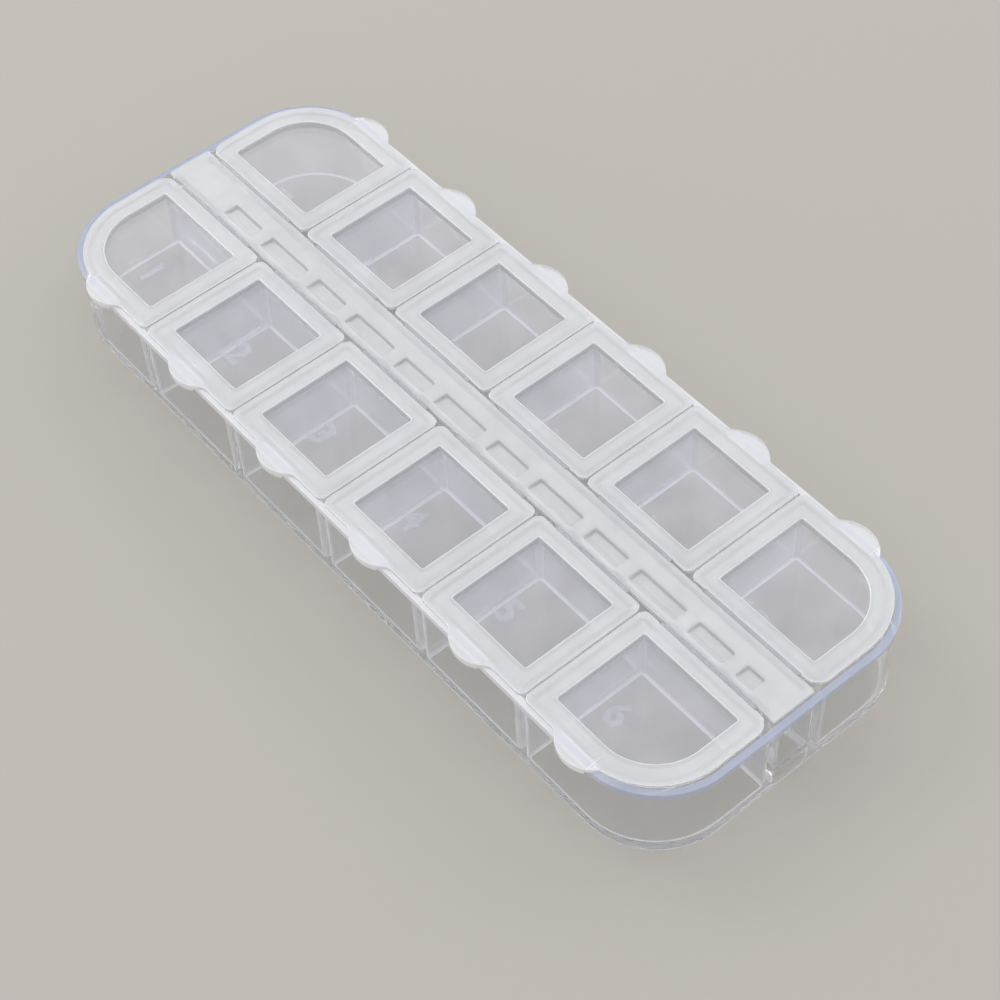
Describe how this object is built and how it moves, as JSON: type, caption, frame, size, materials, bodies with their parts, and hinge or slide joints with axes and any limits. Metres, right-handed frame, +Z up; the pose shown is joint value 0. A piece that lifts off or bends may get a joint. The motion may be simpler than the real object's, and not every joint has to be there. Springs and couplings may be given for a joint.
{
  "type": "compartment storage box",
  "caption": "Flat clear storage box with rows of small compartments on both sides of a centre strip, each under its own film-hinged snap lid with a window.",
  "frame": {"origin": "middle of the underside, on the surface that the box stands on", "axes": "+X along the rows of compartments, +Y across the box from the near row to the far row, +Z up"},
  "size_m": [0.1304, 0.0526, 0.0145],
  "materials": {
    "clear_polystyrene": "clear, polished",
    "milky_polypropylene": "milky, fine satin"
  },
  "bodies": {
    "base": {"tray": "clear_polystyrene", "centre_strip": "milky_polypropylene"},
    "lid_near_1": {"lid_near_1": "milky_polypropylene"},
    "lid_near_2": {"lid_near_2": "milky_polypropylene"},
    "lid_near_3": {"lid_near_3": "milky_polypropylene"},
    "lid_near_4": {"lid_near_4": "milky_polypropylene"},
    "lid_near_5": {"lid_near_5": "milky_polypropylene"},
    "lid_near_6": {"lid_near_6": "milky_polypropylene"},
    "lid_far_1": {"lid_far_1": "milky_polypropylene"},
    "lid_far_2": {"lid_far_2": "milky_polypropylene"},
    "lid_far_3": {"lid_far_3": "milky_polypropylene"},
    "lid_far_4": {"lid_far_4": "milky_polypropylene"},
    "lid_far_5": {"lid_far_5": "milky_polypropylene"},
    "lid_far_6": {"lid_far_6": "milky_polypropylene"}
  },
  "joints": [
    {"name": "lid_near_1_hinge", "type": "hinge", "parent": "base", "child": "lid_near_1", "pos_m": [-0.0524, -0.00373, 0.0143], "axis": [-1, 0, 0], "range_deg": [0, 95]},
    {"name": "lid_near_2_hinge", "type": "hinge", "parent": "base", "child": "lid_near_2", "pos_m": [-0.0306, -0.00373, 0.0143], "axis": [-1, 0, 0], "range_deg": [0, 95]},
    {"name": "lid_near_3_hinge", "type": "hinge", "parent": "base", "child": "lid_near_3", "pos_m": [-0.0102, -0.00373, 0.0143], "axis": [-1, 0, 0], "range_deg": [0, 95]},
    {"name": "lid_near_4_hinge", "type": "hinge", "parent": "base", "child": "lid_near_4", "pos_m": [0.0102, -0.00373, 0.0143], "axis": [-1, 0, 0], "range_deg": [0, 95]},
    {"name": "lid_near_5_hinge", "type": "hinge", "parent": "base", "child": "lid_near_5", "pos_m": [0.0306, -0.00373, 0.0143], "axis": [-1, 0, 0], "range_deg": [0, 95]},
    {"name": "lid_near_6_hinge", "type": "hinge", "parent": "base", "child": "lid_near_6", "pos_m": [0.0524, -0.00373, 0.0143], "axis": [-1, 0, 0], "range_deg": [0, 95]},
    {"name": "lid_far_1_hinge", "type": "hinge", "parent": "base", "child": "lid_far_1", "pos_m": [-0.0524, 0.00373, 0.0143], "axis": [1, 0, 0], "range_deg": [0, 95]},
    {"name": "lid_far_2_hinge", "type": "hinge", "parent": "base", "child": "lid_far_2", "pos_m": [-0.0306, 0.00373, 0.0143], "axis": [1, 0, 0], "range_deg": [0, 95]},
    {"name": "lid_far_3_hinge", "type": "hinge", "parent": "base", "child": "lid_far_3", "pos_m": [-0.0102, 0.00373, 0.0143], "axis": [1, 0, 0], "range_deg": [0, 95]},
    {"name": "lid_far_4_hinge", "type": "hinge", "parent": "base", "child": "lid_far_4", "pos_m": [0.0102, 0.00373, 0.0143], "axis": [1, 0, 0], "range_deg": [0, 95]},
    {"name": "lid_far_5_hinge", "type": "hinge", "parent": "base", "child": "lid_far_5", "pos_m": [0.0306, 0.00373, 0.0143], "axis": [1, 0, 0], "range_deg": [0, 95]},
    {"name": "lid_far_6_hinge", "type": "hinge", "parent": "base", "child": "lid_far_6", "pos_m": [0.0524, 0.00373, 0.0143], "axis": [1, 0, 0], "range_deg": [0, 95]}
  ]
}
